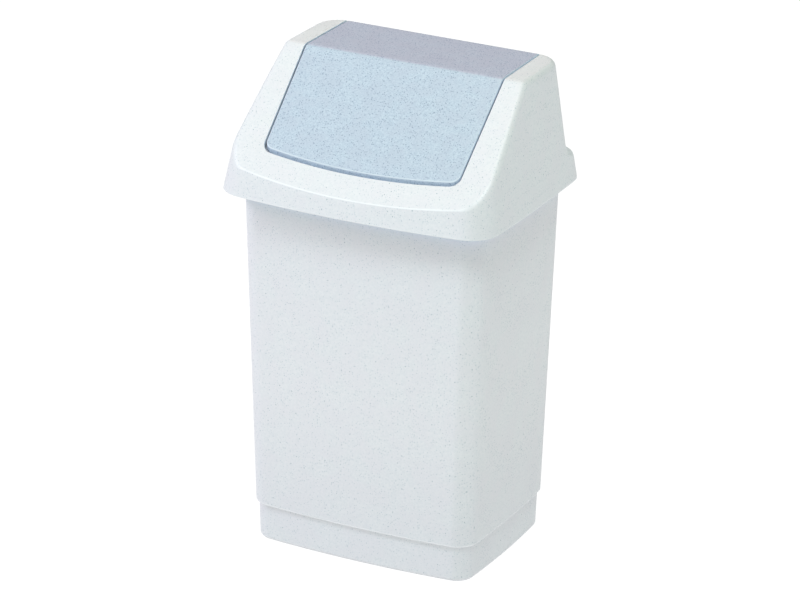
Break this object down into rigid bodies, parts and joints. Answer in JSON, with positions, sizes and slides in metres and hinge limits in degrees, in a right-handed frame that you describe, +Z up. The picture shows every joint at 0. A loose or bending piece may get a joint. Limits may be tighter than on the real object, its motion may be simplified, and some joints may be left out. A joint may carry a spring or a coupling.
{
  "type": "swing lid bin",
  "caption": "Tall tapered plastic waste bin with a lift-off hood and a sloping flap that swings in it and closes by its own weight.",
  "frame": {"origin": "on the floor, under the middle of the hood's outline", "axes": "+Z up, -Y towards the front, which is the sloping side of the flap, +X to the right of the bin when seen from behind it"},
  "size_m": [0.3182, 0.254, 0.531],
  "materials": {
    "white_speckled_plastic": "satin white polypropylene with fine blue-grey specks",
    "blue_speckled_plastic": "satin pale blue polypropylene with fine grey specks"
  },
  "bodies": {
    "bucket": {"bucket": "white_speckled_plastic"},
    "hood": {"hood": "white_speckled_plastic"},
    "flap": {"flap": "blue_speckled_plastic"}
  },
  "joints": [
    {"name": "hood_lift", "type": "slide", "parent": "bucket", "child": "hood", "axis": [0, 0, 1], "range_m": [0, 0.16]},
    {"name": "flap_swing", "type": "hinge", "parent": "hood", "child": "flap", "pos_m": [0, -0.01235, 0.50349], "axis": [1, 0, 0], "range_deg": [0, 112]}
  ]
}
